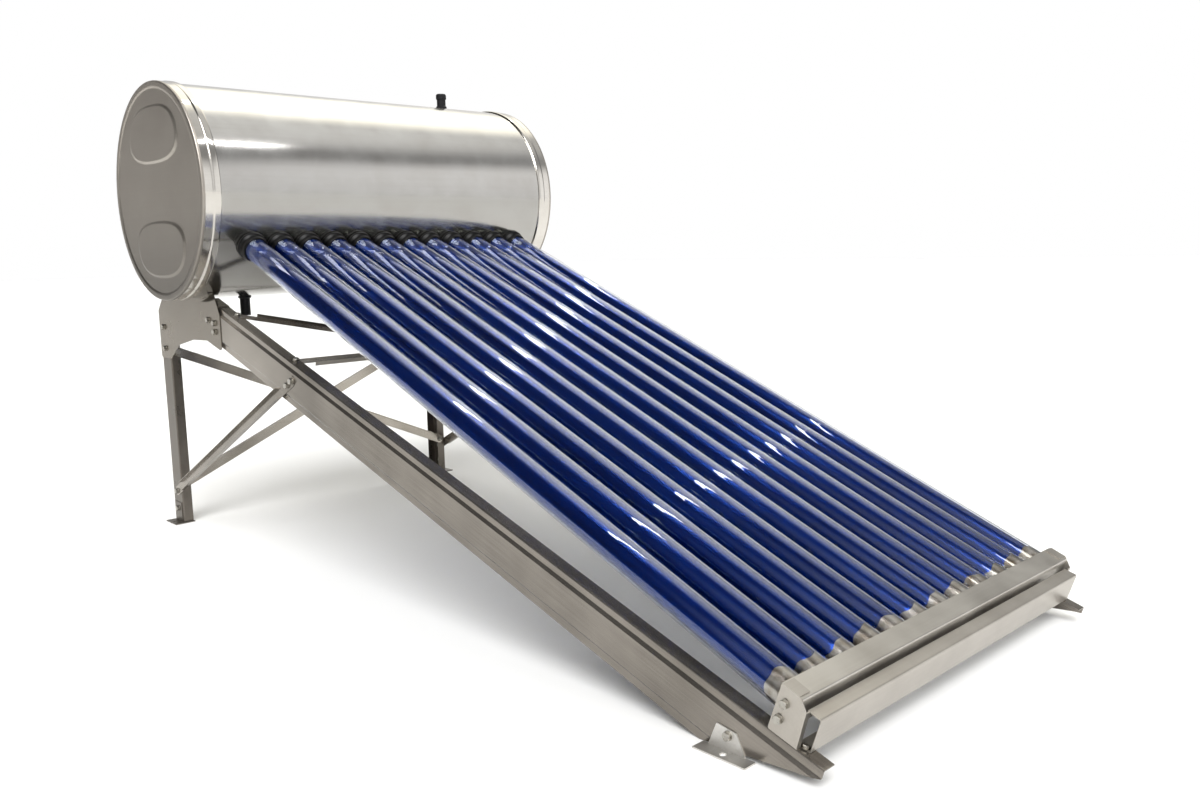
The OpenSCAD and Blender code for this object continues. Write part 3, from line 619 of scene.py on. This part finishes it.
def ring_surface(x, columns=64):
    """Profile (r, rise): the foot's s is where the drum is met, sqrt(R^2 - (h - drop)^2), the lip
    is level, and the points between them go over from one to the other as the rise grows."""
    r, rise = ring_line[:, 0][:, None], ring_line[:, 1][:, None]
    a = round_angles(columns)
    h = r * np.cos(a)
    foot = np.sqrt((tank_r + 0.0002) ** 2 - (h - axis_drop) ** 2)
    flat = np.sqrt(tank_r ** 2 - axis_drop ** 2)
    share = np.clip(1 - rise / ring_rise, 0, 1)
    s = flat + (foot - flat) * share + rise
    return on_slope(x + r * np.sin(a), s, h)


rings = make_piece("dust_rings_moulded", [ring_surface(x) for x in tube_x], ring_rubber,
                   "stand", ["dust_rings"])
print("rings", len(rings.data.polygons), "faces")

# %% [markdown]
# ## Folded frame and small fittings
# Rails, legs, braces, brackets and bolts are folded, cut or turned, and the engineering model
# already has their bends and holes. They could be built again as meshes, but that would only
# repeat it, so they stay and take a finish whose lines run along the piece.

# %% Finishes on the model's own pieces
finish_of = {
    "front_rail": rail_steel, "front_brace": rail_steel, "side_brace": rail_steel,
    "cradle": plate_steel, "rear_leg": leg_steel, "rear_foot": leg_steel,
    "rear_cross": brace_steel, "front_tie": brace_steel,
    "tail_rail": tail_steel, "tail_bracket": bar_steel, "cross_bar": bar_steel,
    "front_foot": foot_steel,
    "side_bolts": bolt_steel, "brace_bolts": bolt_steel, "tail_bolts": bolt_steel,
    "tail_cups": cup_plastic, "vent_cap": cap_plastic,
    "port_left": cap_plastic, "port_right": cap_plastic, "port_grommets": ring_rubber,
    "vent_pipe": tank_steel, "inner_tank": tank_steel,
    "insulation": tank_foam, "tube_seals": seal_silicone,
}
finished = 0
for start, material in finish_of.items():
    for name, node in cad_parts.items():
        if name.startswith(start):
            for i in range(len(node.data.materials)):
                node.data.materials[i] = material
            finished += 1
print("finished", finished, "pieces in", len(finish_of), "groups")

# %% [markdown]
# ## Floor
# The heater stands on a plain pale floor that reaches far past the view. A backdrop that curves up
# behind it would do too, but here the sky is white behind the heater, so a flat sheet is enough.

# %% Floor
floor_half = 40
floor_mesh = bpy.data.meshes.new("floor")
floor_mesh.from_pydata([(-floor_half, -floor_half, 0), (floor_half, -floor_half, 0),
                        (floor_half, floor_half, 0), (-floor_half, floor_half, 0)],
                       [], [(0, 1, 2, 3)])
floor_material, floor_tree = new_material("matt_white_floor")
floor_skin = add(floor_tree, "BsdfPrincipled", {"Base Color": linear("#F4F4F3"),
                                                "Roughness": 0.9})
add(floor_tree, "OutputMaterial", {"Surface": floor_skin.outputs[0]})
floor_mesh.materials.append(floor_material)
floor = bpy.data.objects.new("floor", floor_mesh)
bpy.context.scene.collection.objects.link(floor)
print("floor", 2 * floor_half, "m wide")

# %% [markdown]
# ## Sky
# Polished steel and glass show what stands round them, so their light and dark bands are made by
# the sky. Walls and panels could stand there, but they would show in other views. Here brightness
# is a function of direction: a ramp that is light low down to the front right, like a pale wall,
# and soft patches. How near a direction is to a patch's middle is their dot product. The camera
# itself sees plain white.

# %% Sky that brightens to one side
world = bpy.data.worlds.new("soft_sky")
bpy.context.scene.world = world
world.use_nodes = True
sky = world.node_tree
sky.nodes.clear()
way = add(sky, "TexCoord").outputs["Generated"]
bright_side = (0.65, -0.76, 0.05)
facing = add(sky, "VectorMath", {0: way, 1: bright_side},
             operation="DOT_PRODUCT").outputs["Value"]
glow = add(sky, "ValToRGB", {"Fac": facing}, stops=[
    (0.0, "#2C2C2D"), (0.55, "#2D2E30"), (0.68, "#868688"),
    (0.86, "#959595"), (0.93, "#F4F4F4"), (1.0, "#FFFFFF")]).outputs["Color"]
print("sky is brightest towards", bright_side)

# %% Soft patches in the sky
# Each patch: its middle, the dot products at its outer edge and where it is full, colour, strength.
sky_patches = (
    ((0.42, -0.20, 0.885), 0.88, 0.985, "#FFFFFD", 0.64),   # upper half of the shell
    ((0.50, 0.55, 0.67), 0.70, 0.92, "#FFFFFF", 0.55),      # grey flanks of the tubes
    ((0.48, 0.42, 0.77), 0.86, 0.975, "#FFFCEF", 1.44),     # silver lines, white top of the shell
    ((0.80, 0.57, 0.17), 0.87, 0.985, "#FFFDFB", 0.66),     # far rims of the tubes and the shell
    ((-0.25, 0.96, 0.12), 0.93, 0.985, "#FFFCF9", 0.40),    # upper half of the near cap
    ((-0.64, -0.70, 0.32), 0.45, 0.80, "#FFFFFF", 0.75),    # the tank when seen from behind
)
for middle, edge, full, code, strength in sky_patches:
    near = add(sky, "VectorMath", {0: way, 1: middle}, operation="DOT_PRODUCT").outputs["Value"]
    share = add(sky, "MapRange", {"Value": near, "From Min": edge, "From Max": full},
                interpolation_type="SMOOTHSTEP").outputs[0]
    tint = (*(strength * c for c in linear(code)[:3]), 1.0)
    glow = add(sky, "Mix", {0: share, 6: glow, 7: tint}, data_type="RGBA").outputs[2]
seen = add(sky, "LightPath").outputs["Is Camera Ray"]
backdrop = add(sky, "Background", {"Color": linear("#FFFFFF"), "Strength": 1.0})
dome = add(sky, "Background", {"Color": glow, "Strength": 1.25})
both = add(sky, "MixShader", {0: seen, 1: dome.outputs[0], 2: backdrop.outputs[0]})
add(sky, "OutputWorld", {"Surface": both.outputs[0]})
print("sky patches", len(sky_patches))

# %% [markdown]
# ## Lamps
# Two rows of white glints run across the tubes: each tube mirrors a lamp as a short dash. Large
# soft boxes would smear into long streaks, because a tube stretches a mirror image along its
# length, so two narrow strips hang across the tubes. Their places follow from the mirror law at the
# tubes. A broad sun gives the soft shadow on the floor.

# %% Strip lamps
def strip_lamp(name, place, turn, length, width, power):
    """Long area light that faces down, turned by an angle in degrees from the X axis."""
    light = bpy.data.lights.new(name, "AREA")
    light.shape = "RECTANGLE"
    light.size, light.size_y = length, width
    light.energy = power
    lamp = bpy.data.objects.new(name, light)
    lamp.location = place
    lamp.rotation_euler = (0, 0, math.radians(turn))
    lamp.visible_camera = False
    bpy.context.scene.collection.objects.link(lamp)
    return lamp


strips = [strip_lamp("high_strip", (1.594, 1.691, 4.5), 18.3, 2.2, 0.10, 18),
          strip_lamp("front_strip", (-0.05, -0.36, 2.2), -1.7, 0.95, 0.045, 3.4)]
print("strip lamps", [lamp.name for lamp in strips])

# %% Sun
sun = bpy.data.lights.new("open_light", "SUN")
sun.energy = 3.1
sun.angle = math.radians(42)  # as wide as a large window, so the shadow's edge is soft
sun_object = bpy.data.objects.new("open_light", sun)
sun_object.rotation_euler = (math.radians(40), 0, math.radians(-42))
bpy.context.scene.collection.objects.link(sun_object)
print("sun", sun.energy, "W per square metre")

# %% [markdown]
# ## Camera
# The camera stands at the front left, a little above the tubes' low end, and looks slightly down.
# It could track an empty object, but its place, angles and focal length were fitted to measured
# points of the photograph, so its matrix is built from these numbers.

# %% Camera
camera_place = (-1.5999, -1.8706, 0.7512)
focal_mm, sensor_mm = 31.182, 36.0
azimuth, elevation, roll = (math.radians(v) for v in (-43.89, 8.29, -1.23))
back = np.array([math.sin(azimuth) * math.cos(elevation),
                 -math.cos(azimuth) * math.cos(elevation), math.sin(elevation)])
right = np.cross(-back, (0, 0, 1))
right /= np.linalg.norm(right)
up = np.cross(right, -back)
pose = np.eye(4)
pose[:3, 0] = math.cos(roll) * right + math.sin(roll) * up
pose[:3, 1] = -math.sin(roll) * right + math.cos(roll) * up
pose[:3, 2] = back
pose[:3, 3] = camera_place
lens = bpy.data.cameras.new("camera")
lens.lens, lens.sensor_width = focal_mm, sensor_mm
lens.clip_end = 200
camera = bpy.data.objects.new("camera", lens)
camera.matrix_world = Matrix(pose.tolist())
bpy.context.scene.collection.objects.link(camera)
bpy.context.scene.camera = camera
bpy.context.scene.view_settings.view_transform = "Standard"  # keeps the white background white
print("camera at", camera_place, "with", focal_mm, "mm")
